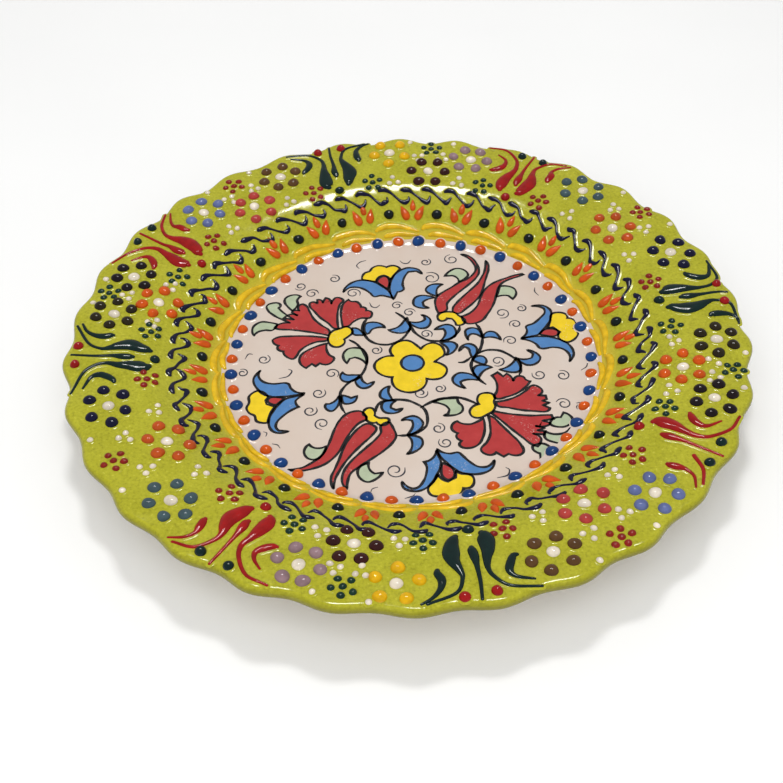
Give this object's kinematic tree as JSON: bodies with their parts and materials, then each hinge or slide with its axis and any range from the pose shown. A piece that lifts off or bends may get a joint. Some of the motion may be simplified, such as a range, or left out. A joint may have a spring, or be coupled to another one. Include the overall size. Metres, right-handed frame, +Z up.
{
  "type": "decorative ceramic plate",
  "caption": "Round scalloped plate with a foot ring, flat printed well, sloping collar and raised enamel beads and brush strokes.",
  "frame": {"origin": "centre of the plate on the plane that the foot ring rests on", "axes": "+Z up along the plate's axis, out of the well; +X to the right and +Y away from the picture's viewer"},
  "size_m": [0.1818, 0.182, 0.0191],
  "materials": {
    "clay": "matt",
    "white_glaze": "gloss",
    "green_glaze": "gloss",
    "back_glaze": "gloss",
    "print_red": "gloss",
    "print_yellow": "gloss",
    "print_blue": "gloss",
    "print_sage": "gloss",
    "print_black": "gloss",
    "print_grey": "gloss",
    "enamel_blue": "gloss",
    "enamel_amber": "gloss",
    "enamel_teal": "gloss",
    "enamel_yellow": "gloss",
    "enamel_navy": "gloss",
    "enamel_red": "gloss",
    "enamel_green": "gloss",
    "enamel_rust": "gloss",
    "enamel_slate": "gloss",
    "enamel_mauve": "gloss",
    "enamel_maroon": "gloss",
    "enamel_ochre": "gloss",
    "enamel_olive": "gloss",
    "enamel_coral": "gloss",
    "enamel_periwinkle": "gloss",
    "enamel_aubergine": "gloss",
    "enamel_orange": "gloss",
    "enamel_umber": "gloss",
    "enamel_crimson": "gloss",
    "enamel_moss": "gloss",
    "enamel_white": "gloss"
  },
  "bodies": {
    "root": {"clay_body": "clay", "well_glaze": "white_glaze", "rim_glaze": "green_glaze", "back_glaze": "back_glaze", "print_red": "print_red", "print_yellow": "print_yellow", "print_blue": "print_blue", "print_sage": "print_sage", "print_stems": "print_black", "print_curls": "print_grey", "well_beads_blue": "enamel_blue", "well_beads_orange": "enamel_amber", "collar_beads_green": "enamel_teal", "collar_petals_orange": "enamel_amber", "collar_arcs_outer": "enamel_yellow", "collar_arcs_inner": "enamel_yellow", "wave_border": "enamel_navy", "tulips_red": "enamel_red", "tulips_green": "enamel_green", "tulip_dots_red": "enamel_red", "tulip_dots_green": "enamel_green", "petals_navy": "enamel_navy", "petals_rust": "enamel_rust", "petals_slate": "enamel_slate", "petals_mauve": "enamel_mauve", "petals_maroon": "enamel_maroon", "petals_yellow": "enamel_ochre", "petals_olive": "enamel_olive", "petals_coral": "enamel_coral", "petals_periwinkle": "enamel_periwinkle", "petals_aubergine": "enamel_aubergine", "petals_orange": "enamel_orange", "petals_umber": "enamel_umber", "flower_centres": "enamel_white", "rosettes_red": "enamel_crimson", "rosettes_green": "enamel_moss", "tiny_dots": "enamel_white"}
  },
  "joints": []
}
